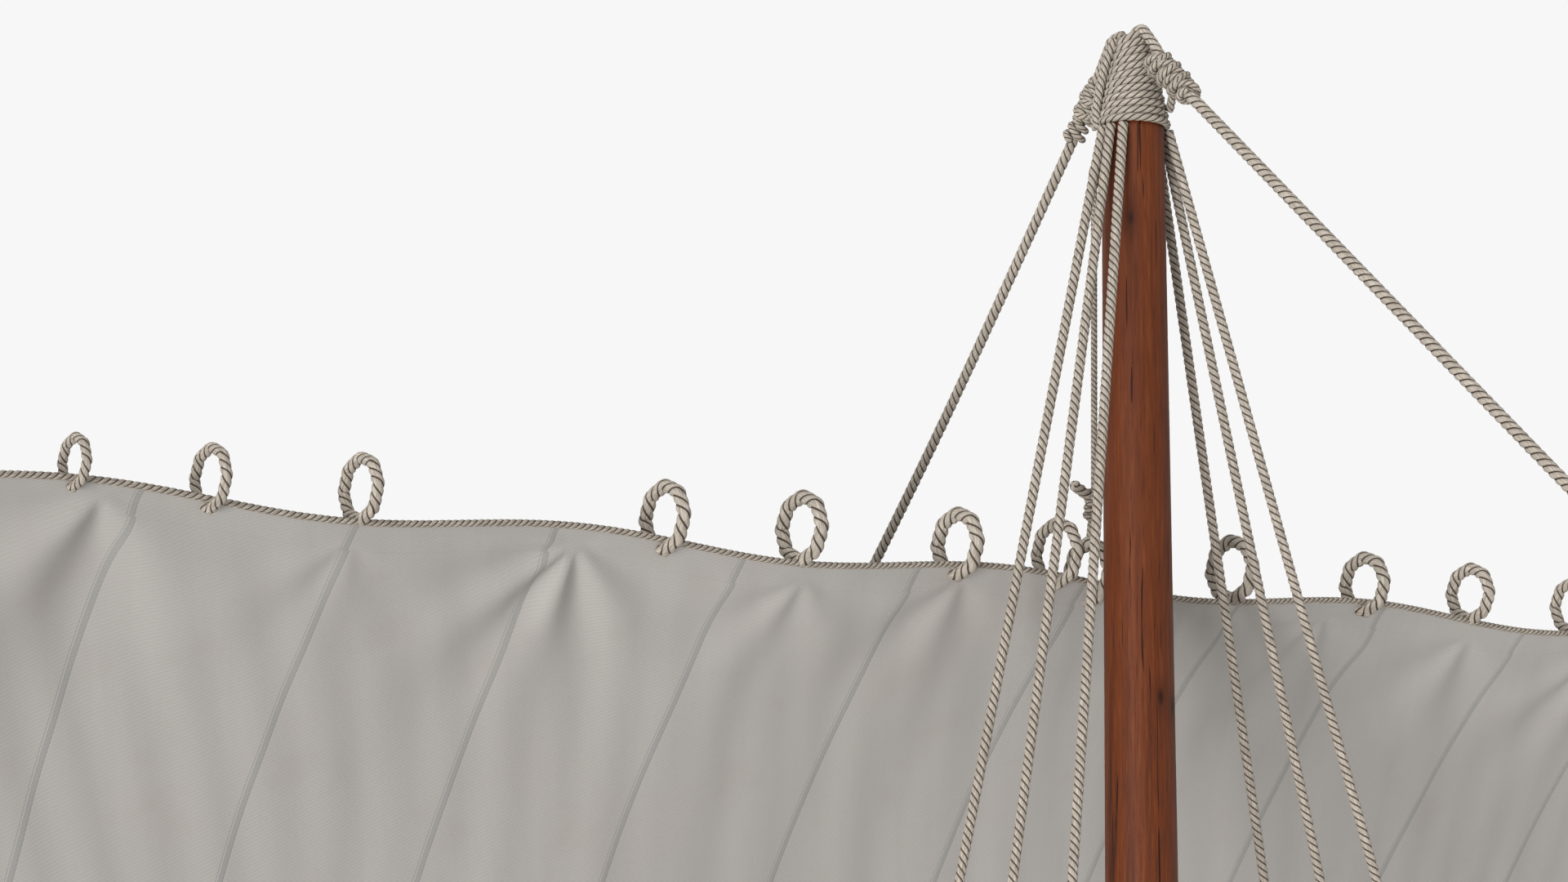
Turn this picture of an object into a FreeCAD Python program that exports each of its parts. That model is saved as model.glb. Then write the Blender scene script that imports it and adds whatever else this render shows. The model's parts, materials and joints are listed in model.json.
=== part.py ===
"""Square-sail rig of a small open boat, stepped at its heel: mast, standing rigging, halyard and sail.

Frame: millimetres, +Z up, +Y forward (towards the bow), +X to starboard. The origin is the centre of
the heel tenon's lower end. The rig is symmetric about the plane X = 0, apart from the wave of the sail's
head, one head loop that is missing on the port side and the lead of the halyard.
"""
import math
import os

from FreeCAD import Placement, Rotation, Vector
import Part

# ---- clearances -------------------------------------------------------------------------------------
seat_gap = 0.3                  # between pieces that bear on each other

# ---- mast -------------------------------------------------------------------------------------------
mast_length = 5950.0
tenon_length = 110.0
tenon_radius = 50.0
mast_radii = (                  # height, radius: fullest at the partners, fining towards the head
    (110.0, 86.0), (1300.0, 95.0), (2650.0, 91.0), (4000.0, 83.5), (5360.0, 75.5), (5720.0, 73.5))
masthead_radius = 26.0          # the wood inside the whipping, at its top
masthead_shoulder = (5.0, 9.0)  # in from the crown's radius and down from the tip
masthead_tip_radius = 10.0

# ---- masthead whipping ------------------------------------------------------------------------------
whipping_bottom = 5720.0
whipping_top = 5925.0
whipping_turns = 11
whipping_valley = 0.25          # depth of rope left between two turns, as a share of the rope

# ---- shrouds, three a side --------------------------------------------------------------------------
shroud_rope = 24.0
rail_height = 750.0             # height of the bull's-eyes, at the boat's rail
shroud_lead_angles = (7.0, -11.0, -32.0)           # where each leaves the mast, forward of abeam
shroud_feet = ((1195.0, 215.0), (1203.0, -255.0), (1203.0, -730.0))
shroud_names = ("fore", "middle", "aft")

# ---- bull's-eyes and thimbles at the rope ends ------------------------------------------------------
eye_hole_radius = 15.0
eye_wood_radius = 42.0
eye_wood_width = 36.0
eye_groove_floor = 33.7         # radius of the groove's floor
seizing_length = 60.0
seizing_rope = 6.0
seizing_standoff = 2.0          # from the rope ring to the seizing
neck_overlap = 2.0              # the rope runs into its ring, this far short of the ring's middle
seizing_turns = 9

# ---- stays ------------------------------------------------------------------------------------------
stay_apex = 5950.0              # the height where both stays' lines meet the mast's axis
forestay_rope = 26.0
forestay_slope = 0.821          # forward run for each unit of drop
forestay_knot = (120.0, 240.0)  # drops of the knot's ends
forestay_end_drop = 1270.0      # drop of the thimble's centre
backstay_rope = 29.0
backstay_slope = 1.082
backstay_knot = (85.0, 185.0)
backstay_end_drop = 1350.0
knot_rope = 17.0
knot_turns = 6
eye_leg_spread = 15.0           # half the distance between the two legs of the forestay's eye
leg_standoff = 4.1              # from the knot's end to the square end of a leg that leaves it aslant
leg_off_whipping = 3.0
leg_top_drop = 18.0             # from the whipping's top to the top of the forestay's eye
eye_over_mast = 15.9            # the backstay's eye, above the masthead
eye_tuck = 6.0                  # how deep the eye's lower end lies in the knot's flank
eye_standoff = 1.6
eye_crest_y = (-30.0, 21.0)     # the level stretch over the masthead
eye_nose = (71.0, 32.0)         # its end on the fore side: forward, and down from the crest
lower_leg_drop = 33.0           # from the knot's upper end
lower_leg_rope = 20.0
lower_leg_length = 33.0

# ---- sail -------------------------------------------------------------------------------------------
head_y = 135.0
head_mean_z = 4659.0
head_wave = 18.0                # height of the wave of the head rope
head_half_wave = 600.0          # length of half a wave
sail_half_width = 3000.0
sail_leech = 3800.0             # length of a leech along the cloth
sail_head_angle = math.radians(46.6)               # the cloth's lean under the head, from upright
sail_belly_radius = 3570.0
sail_narrowing = 0.08           # share of the half width lost at the foot
foot_arch = 150.0               # rise of the foot in its middle
cloth_thickness = 3.0
bolt_rope = 16.0
edge_slack = 1.2                # between the cloth's edge and the bolt rope, beside the seat gap
cloth_net = (81, 41)            # points across and down that the cloth's surface follows
cringle_rope = 14.0
cringle_radius = 30.0

# ---- head loops -------------------------------------------------------------------------------------
loop_stations = (130.0, 435.0, 890.0, 1270.0, 1660.0, 2050.0, 2407.0, 2716.0)
missing_loop = ("port", 5)
loop_top = 4806.0               # height of the middle loops' tops
loop_top_fall = 5.3e-6          # the tops follow a tapered spar
loop_rope_middle = 32.0
loop_rope_fining = 1.65e-6
lighter_loop_rope = 27.0        # the two loops beside the mast
hung_margin = 2.0               # a loop hangs round the head rope where the wave isn't lower than this
slot_side_gap = 6.0             # between a loop's rope and the slot's sides
slot_reach = 60.0               # how far down the cloth a slot runs
middle_loop_radius = 68.0       # to the rope's centre line
middle_loop_y = 167.0
middle_slot_side_gap = 12.0
middle_slot_reach = 90.0
slot_depth = (40.0, 120.0)      # how far a slot's cut runs abaft and forward of the head rope

# ---- halyard ----------------------------------------------------------------------------------------
halyard_rope = 16.0
lead_z = 5636.0                 # the bull's-eye that leads the halyard at the masthead
lead_hole_radius = 12.0
lead_wood_radius = 30.0
lead_wood_width = 24.0
lead_groove_floor = 23.0
strop_rope = 14.0
strop_off_mast = 1.3
strop_below_whipping = 1.5
arch_clearance = 3.0            # between the rope's arch and the sides of its bull's-eye
arch_lift = 2.5                 # the arch's crown above the bull's-eye's centre
lead_drop = 150.0               # straight run of the fall under the bull's-eye
fall_elbow = (450.0, 22.0)      # where the fall turns to the mast: down, and aft of the lead
fall_end_rise = 80.0            # the fall ends at the cleat, this far over its middle
fall_side = 33.0                # the fall's place abreast of the mast's centre, clear of the middle loop
halyard_knot_top = 4880.0
halyard_knot_turns = 5
halyard_knot_setback = 20.0     # the knot's top stands this far abaft the middle loop
knot_over_loop = 2.2
halyard_off_knot = 1.4
tail_rope = 30.0
tail_share = 0.7                # where the tail leaves the knot, up from the loop
tail_run = Vector(-62, -6, 12)
tail_off_knot = 1.3
cleat_z = 1350.0
cleat_length = 220.0
cleat_width = 36.0
cleat_standoff = 30.0
cleat_depth = 26.0
cleat_seat = 40.0               # half the length that bears on the mast
cleat_neck = 34.0               # half the length where the horns spring
cleat_horn_taper = (6.0, 4.0)   # taken off a horn's end, inside and outside
treenail_radius = 7.0
treenail_spacing = 50.0
treenail_depth = 45.0           # into the mast
treenail_head = 3.0
treenail_fit = 0.05
belay_level = 62.0              # of each turn round the cleat, from its middle
belay_off_cleat = (2.8, 4.8)    # across and outside

UP = Vector(0, 0, 1)
nodes = {}


def mast_radius(z):
    """Radius of the mast at height z, below the whipping."""
    for (z0, r0), (z1, r1) in zip(mast_radii, mast_radii[1:]):
        if z <= z1:
            return r0 + (r1 - r0) * (z - z0) / (z1 - z0)
    return mast_radii[-1][1]


def masthead_wood_radius(z):
    """Radius of the tapered masthead inside the whipping."""
    share = (z - whipping_bottom) / (whipping_top - whipping_bottom)
    return mast_radii[-1][1] + (masthead_radius - mast_radii[-1][1]) * share


def turned(points, origin=Vector(0, 0, 0), axis=UP, edges=None):
    """Solid of revolution of a closed outline of (radius, height) points about an axis."""
    if edges is None:
        edges = [Part.LineSegment(Vector(r0, 0, z0), Vector(r1, 0, z1)).toShape()
                 for (r0, z0), (r1, z1) in zip(points, points[1:] + points[:1])]
    solid = Part.Face(Part.Wire(edges)).revolve(Vector(0, 0, 0), UP, 360)
    solid = Part.Solid(solid) if solid.ShapeType == "Shell" else solid
    solid.Placement = Placement(origin, Rotation(UP, axis))
    return solid


def straight_rope(start, end, diameter):
    """A taut stretch of rope."""
    return Part.makeCylinder(diameter / 2, (end - start).Length, start, end - start)


def rope_along(edges, diameter):
    """A rope swept along lines and tangent arcs."""
    wire = Part.Wire(edges)
    first = wire.OrderedEdges[0]
    start = first.valueAt(first.FirstParameter)
    direction = first.tangentAt(first.FirstParameter)
    if first.Orientation == "Reversed":
        start = first.valueAt(first.LastParameter)
        direction = -first.tangentAt(first.LastParameter)
    section = Part.Wire([Part.makeCircle(diameter / 2, start, direction)])
    return wire.makePipeShell([section], True, False)


def arc_through(a, b, c):
    return Part.Arc(a, b, c).toShape()


def rounded_path(points, share=0.45):
    """Straight runs joined by tangent arcs, each as large as its two runs allow."""
    edges = []
    start = points[0]
    for before, corner, after in zip(points, points[1:], points[2:]):
        into = (corner - before).normalize()
        out = (after - corner).normalize()
        half_turn = into.getAngle(out) / 2
        reach = share * min((corner - before).Length, (after - corner).Length)
        radius = reach / math.tan(half_turn)
        bisector = (out - into).normalize()
        middle = corner + bisector * (radius / math.cos(half_turn) - radius)
        a, c = corner - into * reach, corner + out * reach
        edges += [Part.LineSegment(start, a).toShape(), arc_through(a, middle, c)]
        start = c
    edges.append(Part.LineSegment(start, points[-1]).toShape())
    return edges


def ring_path(corners, share=0.45):
    """A closed path of straight runs and tangent arcs round a quadrilateral."""
    edges = []
    count = len(corners)
    for k in range(count):
        before, corner, after = corners[k - 1], corners[k], corners[(k + 1) % count]
        beyond = corners[(k + 2) % count]
        into, out = (corner - before).normalize(), (after - corner).normalize()
        half_turn = into.getAngle(out) / 2
        reach = share * min((corner - before).Length, (after - corner).Length)
        next_reach = share * min((after - corner).Length, (beyond - after).Length)
        radius = reach / math.tan(half_turn)
        middle = corner + (out - into).normalize() * (radius / math.cos(half_turn) - radius)
        edges += [arc_through(corner - into * reach, middle, corner + out * reach),
                  Part.LineSegment(corner + out * reach, after - out * next_reach).toShape()]
    return edges


def wrapping(start, end, bore_start, bore_end, rope, turns):
    """Turns of rope side by side about a straight or tapered core: a sleeve with a scalloped outside."""
    length = (end - start).Length
    pitch = length / turns

    def bore(z):
        return bore_start + (bore_end - bore_start) * z / length
    root = whipping_valley * rope
    edges = [Part.LineSegment(Vector(bore_end, 0, length), Vector(bore_start, 0, 0)).toShape(),
             Part.LineSegment(Vector(bore_start, 0, 0), Vector(bore_start + root, 0, 0)).toShape()]
    for turn in range(turns):
        z0, z1 = turn * pitch, (turn + 1) * pitch
        zm = (z0 + z1) / 2
        edges.append(arc_through(Vector(bore(z0) + root, 0, z0), Vector(bore(zm) + rope, 0, zm),
                                 Vector(bore(z1) + root, 0, z1)))
    edges.append(Part.LineSegment(Vector(bore_end + root, 0, length), Vector(bore_end, 0, length)).toShape())
    return turned(None, start, end - start, edges)


def bulls_eye(centre, axis, hole, floor, rim, width, rope):
    """A turned wooden ring with a groove for the rope round its rim."""
    half = width / 2
    groove_centre = floor + rope / 2 + seat_gap
    groove_radius = rope / 2 + seat_gap
    lip = math.sqrt(groove_radius ** 2 - (groove_centre - rim) ** 2)
    points = ((hole, half), (hole, -half), (rim, -half), (rim, -lip), (rim, lip), (rim, half))
    edges = [Part.LineSegment(Vector(r0, 0, z0), Vector(r1, 0, z1)).toShape()
             for (r0, z0), (r1, z1) in (points[0:2], points[1:3], points[2:4], points[4:6],
                                        (points[5], points[0]))]
    edges.insert(3, arc_through(Vector(rim, 0, -lip), Vector(floor, 0, 0), Vector(rim, 0, lip)))
    return turned(None, centre, axis, edges)


def rope_end(start, centre, rope):
    """The rope from start, with its end taken round a bull's-eye: rope, seizing and bull's-eye."""
    along = (centre - start).normalize()
    axis = Vector(1, 0, 0) - along * along.x
    if axis.Length < 0.5:
        axis = Vector(0, 1, 0) - along * along.y
    axis.normalize()
    ring_radius = eye_groove_floor + rope / 2 + seat_gap
    neck = centre - along * (ring_radius + neck_overlap)
    ring = Part.makeTorus(ring_radius, rope / 2, centre, axis)
    body = straight_rope(start, neck, rope).fuse(ring)
    bound = centre - along * (ring_radius + rope / 2 + seizing_standoff)
    seizing = wrapping(bound - along * seizing_length, bound, rope / 2 + seat_gap, rope / 2 + seat_gap,
                       seizing_rope, seizing_turns)
    wood = bulls_eye(centre, axis, eye_hole_radius, eye_groove_floor, eye_wood_radius, eye_wood_width, rope)
    return body, seizing, wood


# ---- the sail's shape -------------------------------------------------------------------------------
def head_height(x):
    """Height of the head rope's centre: arcs, alternately hollow and round, one for each half wave."""
    radius = (head_half_wave ** 2 / 4 + head_wave ** 2) / (2 * head_wave)
    index = math.floor(x / head_half_wave)
    from_middle = x - (index + 0.5) * head_half_wave
    rise = math.sqrt(radius ** 2 - from_middle ** 2) - (radius - head_wave)
    return head_mean_z + (rise if index % 2 else -rise)


def sail_length(u):
    """Length down the cloth at share u of the half width."""
    return sail_leech - foot_arch * (1 - u * u)


def belly(s):
    """How far forward and down the cloth has come at the length s from the head."""
    lean = sail_head_angle - s / sail_belly_radius
    return Vector(0, sail_belly_radius * (math.cos(lean) - math.cos(sail_head_angle)),
                  sail_belly_radius * (math.sin(lean) - math.sin(sail_head_angle)))


def sail_point(u, s):
    """Point of the cloth: u from -1 at the port leech to 1, s the length down from the head."""
    here, foot = belly(s), belly(sail_leech)
    x = sail_half_width * u
    fade = (1 - s / sail_length(u)) ** 2
    wave = (head_height(x) - head_mean_z) * fade
    narrowing = sail_narrowing * here.dot(foot) / foot.dot(foot)
    return Vector(x * (1 - narrowing), head_y + here.y, head_mean_z + here.z + wave)


def loop_rope(x):
    """Rope of the head loop at x."""
    if abs(x) == loop_stations[0]:
        return lighter_loop_rope
    return loop_rope_middle - loop_rope_fining * x * x


def loop_geometry(x):
    """Centre and centre-line radius of the loop at x, and whether it hangs round the head rope."""
    rope = loop_rope(x)
    head = head_height(x)
    top = loop_top - loop_top_fall * x * x
    hung = head >= head_mean_z - hung_margin
    bottom = head - bolt_rope / 2 - seat_gap - rope if hung else head + bolt_rope / 2 + seat_gap
    return Vector(x, head_y, (top + bottom) / 2), (top - bottom - rope) / 2, hung


def middle_loop_centre():
    """The middle loop stands clear of the mast, with the head rope low against its after side."""
    inside = middle_loop_radius - loop_rope_middle / 2 - bolt_rope / 2 - seat_gap
    across = middle_loop_y - head_y
    return Vector(0, middle_loop_y, head_height(0) + math.sqrt(inside ** 2 - across ** 2))


def net_surface(grid):
    """Cubic surface that follows a fine net of points and passes through the net's corners."""
    degree = 3
    spans = [len(grid) - degree, len(grid[0]) - degree]
    knots = [[k / n for k in range(n + 1)] for n in spans]
    counts = [[degree + 1] + [1] * (n - 1) + [degree + 1] for n in spans]
    surface = Part.BSplineSurface()
    surface.buildFromPolesMultsKnots(grid, counts[0], counts[1], knots[0], knots[1], False, False, degree, degree)
    return surface


def make_mast():
    spline = Part.BSplineCurve()
    spline.interpolate([Vector(r, 0, z) for z, r in mast_radii])
    crown = Vector(masthead_radius, 0, whipping_top)
    shoulder = Vector(masthead_radius - masthead_shoulder[0], 0, mast_length - masthead_shoulder[1])
    tip = Vector(masthead_tip_radius, 0, mast_length)
    outline = ((0, 0), (tenon_radius, 0), (tenon_radius, tenon_length), (mast_radii[0][1], tenon_length))
    edges = [Part.LineSegment(Vector(r0, 0, z0), Vector(r1, 0, z1)).toShape()
             for (r0, z0), (r1, z1) in zip(outline, outline[1:])]
    edges += [spline.toShape(),
              Part.LineSegment(Vector(mast_radii[-1][1], 0, whipping_bottom), crown).toShape(),
              arc_through(crown, shoulder, tip),
              Part.LineSegment(tip, Vector(0, 0, mast_length)).toShape(),
              Part.LineSegment(Vector(0, 0, mast_length), Vector(0, 0, 0)).toShape()]
    nodes["mast"] = turned(None, edges=edges)


def make_whipping():
    pitch = (whipping_top - whipping_bottom) / whipping_turns
    nodes["masthead_whipping"] = wrapping(
        Vector(0, 0, whipping_bottom), Vector(0, 0, whipping_top),
        mast_radii[-1][1] + seat_gap, masthead_radius + seat_gap, pitch, whipping_turns)


def make_shrouds():
    lead = mast_radii[-1][1] + shroud_rope / 2 + seat_gap
    for side, sign in (("port", -1), ("starboard", 1)):
        seizings, woods = [], []
        for name, angle, foot in zip(shroud_names, shroud_lead_angles, shroud_feet):
            a = math.radians(angle)
            start = Vector(sign * lead * math.cos(a), lead * math.sin(a), whipping_bottom - seat_gap)
            end = Vector(sign * foot[0], foot[1], rail_height)
            rope, seizing, wood = rope_end(start, end, shroud_rope)
            nodes[f"{side}_{name}_shroud"] = rope
            seizings.append(seizing)
            woods.append(wood)
        nodes[f"{side}_shroud_seizings"] = Part.Compound(seizings)
        nodes[f"{side}_bulls_eyes"] = Part.Compound(woods)


def stay_point(slope, drop, side=0.0):
    return Vector(side, slope * drop, stay_apex - drop)


def make_stay(name, slope, rope, knot, end_drop):
    knot_top, knot_foot = stay_point(slope, knot[0]), stay_point(slope, knot[1])
    along = (knot_foot - knot_top).normalize()
    body, seizing, wood = rope_end(knot_top + along * knot_rope, stay_point(slope, end_drop), rope)
    nodes[name] = body
    nodes[f"{name}_seizing"] = seizing
    nodes[f"{name}_thimble"] = wood
    bore = rope / 2 + seat_gap
    nodes[f"{name}_knot"] = wrapping(knot_top, knot_foot, bore, bore, knot_rope, knot_turns)
    return knot_top, along


def whipping_outside(z):
    return masthead_wood_radius(z) + seat_gap + (whipping_top - whipping_bottom) / whipping_turns


def make_stays():
    top, along = make_stay("forestay", forestay_slope, forestay_rope, forestay_knot, forestay_end_drop)
    leg_top_z = whipping_top - leg_top_drop
    legs = []
    for side in (-eye_leg_spread, eye_leg_spread):
        across = Vector(side, 0, 0)
        foot = top + across - along * leg_standoff
        reach = math.sqrt(whipping_outside(leg_top_z) ** 2 - side ** 2)
        head = Vector(side, reach + forestay_rope / 2 + leg_off_whipping, leg_top_z)
        legs.append(straight_rope(foot, head, forestay_rope))
    bridge = straight_rope(Vector(-eye_leg_spread, head.y, leg_top_z), head, forestay_rope)
    nodes["forestay_eye"] = legs[0].fuse([legs[1], bridge]).removeSplitter()
    top, along = make_stay("backstay", -backstay_slope, backstay_rope, backstay_knot, backstay_end_drop)
    inward = Vector(0, -along.z, along.y)           # square to the stay, towards the mast's foot
    over = mast_length + eye_over_mast
    leg_start = top - inward * (knot_rope + backstay_rope / 2 - eye_tuck)
    crest = Vector(0, eye_crest_y[0], over)
    leg_start += (crest - leg_start).normalize() * eye_standoff
    path = rounded_path([leg_start, crest, Vector(0, eye_crest_y[1], over),
                         Vector(0, eye_nose[0], over - eye_nose[1])])
    nodes["backstay_eye"] = rope_along(path, backstay_rope)
    knot_radius = backstay_rope / 2 + seat_gap + knot_rope
    leg_start = stay_point(-backstay_slope, backstay_knot[0] + lower_leg_drop) + inward * (knot_radius + seat_gap)
    nodes["backstay_lower_leg"] = straight_rope(leg_start, leg_start + inward * lower_leg_length, lower_leg_rope)


def make_sail():
    rope_gap = bolt_rope / 2 + seat_gap
    side_inset = (rope_gap + edge_slack) / (sail_half_width * (1 - sail_narrowing))
    head_inset = rope_gap + edge_slack
    columns, rows = cloth_net
    grid = []
    for i in range(columns):
        u = (2 * i / (columns - 1) - 1) * (1 - side_inset)
        length = sail_length(u)
        grid.append([sail_point(u, head_inset + (length - 2 * (rope_gap + edge_slack)) * j / (rows - 1))
                     for j in range(rows)])
    surface = net_surface(grid)
    face = surface.toShape()
    face.translate(Vector(0, -cloth_thickness / 2, 0))
    cloth = face.extrude(Vector(0, cloth_thickness, 0))
    for x, side_gap, reach in slots():
        wide = loop_rope(x) / 2 + side_gap
        deep = reach * math.cos(sail_head_angle)
        slot = Part.makeBox(2 * wide, sum(slot_depth), deep + bolt_rope,
                            Vector(x - wide, head_y - slot_depth[0], head_height(x) - deep))
        cloth = cloth.cut(slot)
    nodes["sail_cloth"] = cloth.Solids[0]

    half_waves = int(sail_half_width / head_half_wave)
    arcs = []
    for k in range(-half_waves, half_waves):
        x0, x1 = k * head_half_wave, (k + 1) * head_half_wave
        ends = [Vector(x, head_y, head_height(x)) for x in (x0, (x0 + x1) / 2, x1)]
        arcs.append(arc_through(*ends))
    half_head = sail_half_width - rope_gap - seat_gap
    margin = head_wave + bolt_rope
    trim = Part.makeBox(2 * half_head, 2 * margin, 2 * margin,
                        Vector(-half_head, head_y - margin, head_mean_z - margin))
    nodes["head_rope"] = rope_along(arcs, bolt_rope).common(trim).Solids[0]
    for side, sign in (("port", -1), ("starboard", 1)):
        top, middle, foot = (sail_point(sign, share * sail_leech) for share in (0, 0.5, 1))
        nodes[f"{side}_leech_rope"] = rope_along([arc_through(top, middle, foot)], bolt_rope)
        outward = Vector(sign, 0, 0)
        reach = cringle_radius + cringle_rope / 2 + bolt_rope / 2
        nodes[f"{side}_head_cringle"] = Part.makeTorus(
            cringle_radius, cringle_rope / 2, top + outward * (reach + seat_gap), Vector(0, 1, 0))
        nodes[f"{side}_clew_cringle"] = Part.makeTorus(
            cringle_radius, cringle_rope / 2, foot + outward * (reach + seat_gap), Vector(0, 1, 0))
    inner = 1 - (rope_gap + seat_gap) / (sail_half_width * (1 - sail_narrowing))
    foot_points = [sail_point(u, sail_length(u)) for u in (-inner, 0, inner)]
    nodes["foot_rope"] = rope_along([arc_through(*foot_points)], bolt_rope)


def slots():
    """Places of the slots under the head rope where loops pass through the cloth."""
    found = [(0.0, middle_slot_side_gap, middle_slot_reach)]
    for side, number, x in loops():
        if loop_geometry(x)[2]:
            found.append((x, slot_side_gap, slot_reach))
    return found


def loops():
    """Side, number and place of each head loop."""
    return [(side, number, sign * x)
            for side, sign in (("port", -1), ("starboard", 1))
            for number, x in enumerate(loop_stations, 1) if (side, number) != missing_loop]


def make_loops():
    for side, number, x in loops():
        centre, radius, _ = loop_geometry(x)
        nodes[f"{side}_head_loop_{number}"] = Part.makeTorus(radius, loop_rope(x) / 2, centre, Vector(1, 0, 0))
    nodes["middle_head_loop"] = Part.makeTorus(
        middle_loop_radius, loop_rope_middle / 2, middle_loop_centre(), Vector(1, 0, 0))


def make_halyard():
    ring_radius = lead_groove_floor + strop_rope / 2 + seat_gap
    lead_y = mast_radius(lead_z) + ring_radius + strop_rope / 2 + seat_gap
    lead = Vector(0, lead_y, lead_z)
    across = Vector(1, 0, 0)
    nodes["halyard_bulls_eye"] = bulls_eye(lead, across, lead_hole_radius, lead_groove_floor,
                                           lead_wood_radius, lead_wood_width, strop_rope)
    strop_top = Vector(0, mast_radii[-1][1] + strop_rope / 2 + strop_off_mast,
                       whipping_bottom - strop_below_whipping)
    strop = Part.makeTorus(ring_radius, strop_rope / 2, lead, across)
    nodes["halyard_strop"] = strop.fuse(straight_rope(lead + UP * ring_radius, strop_top, strop_rope))

    half_arch = lead_wood_width / 2 + halyard_rope / 2 + arch_clearance
    crown = Vector(0, lead_y, lead_z + arch_lift)
    shoulder_z = crown.z - half_arch
    knot_top = Vector(0, middle_loop_y - halyard_knot_setback, halyard_knot_top)
    lift, haul = Vector(-half_arch, lead_y, shoulder_z), Vector(half_arch, lead_y, shoulder_z)
    arch = arc_through(lift, crown, haul)
    cleat_side = Vector(fall_side, mast_radius(cleat_z) + cleat_standoff + cleat_depth / 2,
                        cleat_z + fall_end_rise)
    elbow = Vector(fall_side, lead_y - fall_elbow[1], shoulder_z - fall_elbow[0])
    elbows = [haul, haul - UP * lead_drop, elbow, cleat_side]
    nodes["halyard_fall"] = rope_along([arch] + rounded_path(elbows), halyard_rope)
    nodes["halyard"] = straight_rope(lift - UP, knot_top + UP * halyard_off_knot, halyard_rope)

    loop_crown = middle_loop_centre() + UP * (middle_loop_radius + loop_rope_middle / 2 + knot_over_loop)
    bore = halyard_rope / 2
    nodes["halyard_knot"] = wrapping(loop_crown, knot_top, bore, bore, halyard_rope, halyard_knot_turns)
    heart = loop_crown + (knot_top - loop_crown) * tail_share
    tail_start = heart - Vector(bore + halyard_rope + tail_off_knot, 0, 0)
    nodes["loop_rope_tail"] = straight_rope(tail_start, tail_start + tail_run, tail_rope)


def make_cleat():
    """A two-horned wooden cleat on the fore side of the mast, held by two treenails."""
    face = mast_radius(cleat_z) + seat_gap
    back = face + cleat_standoff
    front = back + cleat_depth
    half = cleat_length / 2
    inside, outside = cleat_horn_taper
    outline = (
        Vector(0, face, -cleat_seat), Vector(0, face, cleat_seat), Vector(0, back, cleat_neck),
        Vector(0, back + inside, half), Vector(0, front - outside, half), Vector(0, front, cleat_neck),
        Vector(0, front, -cleat_neck), Vector(0, front - outside, -half),
        Vector(0, back + inside, -half), Vector(0, back, -cleat_neck))
    shape = Part.Face(Part.makePolygon(list(outline) + [outline[0]])).extrude(Vector(cleat_width, 0, 0))
    shape.translate(Vector(-cleat_width / 2, 0, cleat_z))
    round_seat = Part.makeCylinder(face, cleat_length, Vector(0, 0, cleat_z - half))
    shape = shape.cut(round_seat)
    forward = Vector(0, 1, 0)
    pins = []
    for dz in (-treenail_spacing / 2, treenail_spacing / 2):
        at = Vector(0, face - treenail_depth, cleat_z + dz)
        pins.append(Part.makeCylinder(treenail_radius, front + treenail_head - at.y, at, forward))
        hole = Part.makeCylinder(treenail_radius + treenail_fit, 2 * front, at - forward * treenail_fit, forward)
        shape = shape.cut(hole)
        nodes["mast"] = nodes["mast"].cut(hole)
    nodes["mast_cleat"] = shape
    nodes["cleat_treenails"] = Part.Compound(pins)
    clear = halyard_rope / 2 + seat_gap
    middle_y = back + cleat_depth / 2
    across = cleat_width / 2 + clear + belay_off_cleat[0]
    outside = cleat_depth / 2 + clear + belay_off_cleat[1]
    turns = []
    for level in (cleat_z + belay_level, cleat_z - belay_level):
        corners = [Vector(across, middle_y - outside, level), Vector(across, middle_y + outside, level),
                   Vector(-across, middle_y + outside, level), Vector(-across, middle_y - outside, level)]
        turns.append(rope_along(ring_path(corners), halyard_rope))
    nodes["halyard_belay"] = Part.Compound(turns)


def main():
    make_mast()
    make_whipping()
    make_shrouds()
    make_stays()
    make_sail()
    make_loops()
    make_halyard()
    make_cleat()
    os.makedirs("parts", exist_ok=True)
    for name, shape in nodes.items():
        shape.exportStep(f"parts/{name}.step")


main()
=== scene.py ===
"""The looks of a small boat's square-sail rig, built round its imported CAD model.

Metres, +Z up the mast, +Y towards the bow, +X to starboard. Places come from the frame: from nodes' boxes,
mounts and joints. The few that are given here as numbers are the routes of the ropes, as the part has them.
"""
import json
import math

import bpy
import numpy as np
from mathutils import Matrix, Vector


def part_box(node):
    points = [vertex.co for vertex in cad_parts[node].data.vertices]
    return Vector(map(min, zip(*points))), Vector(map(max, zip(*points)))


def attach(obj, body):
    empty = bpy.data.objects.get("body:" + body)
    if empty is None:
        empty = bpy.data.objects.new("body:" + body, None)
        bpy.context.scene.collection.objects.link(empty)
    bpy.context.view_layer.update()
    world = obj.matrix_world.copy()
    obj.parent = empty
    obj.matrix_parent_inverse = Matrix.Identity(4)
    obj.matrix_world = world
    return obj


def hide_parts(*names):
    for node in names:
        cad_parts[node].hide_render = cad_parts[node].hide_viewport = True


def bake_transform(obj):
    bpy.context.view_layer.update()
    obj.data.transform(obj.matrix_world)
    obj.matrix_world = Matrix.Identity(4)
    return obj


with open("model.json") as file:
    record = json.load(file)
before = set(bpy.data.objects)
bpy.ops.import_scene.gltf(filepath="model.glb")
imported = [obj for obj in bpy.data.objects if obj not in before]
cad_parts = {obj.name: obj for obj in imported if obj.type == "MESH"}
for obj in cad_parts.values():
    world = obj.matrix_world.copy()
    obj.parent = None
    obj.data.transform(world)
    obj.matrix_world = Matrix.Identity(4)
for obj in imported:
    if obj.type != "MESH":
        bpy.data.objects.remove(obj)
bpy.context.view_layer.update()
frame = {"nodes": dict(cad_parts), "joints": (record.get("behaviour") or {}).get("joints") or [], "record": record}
mounts = {m["name"]: Vector(m["pos_m"]) for m in frame["record"]["mounts"]}
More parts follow.
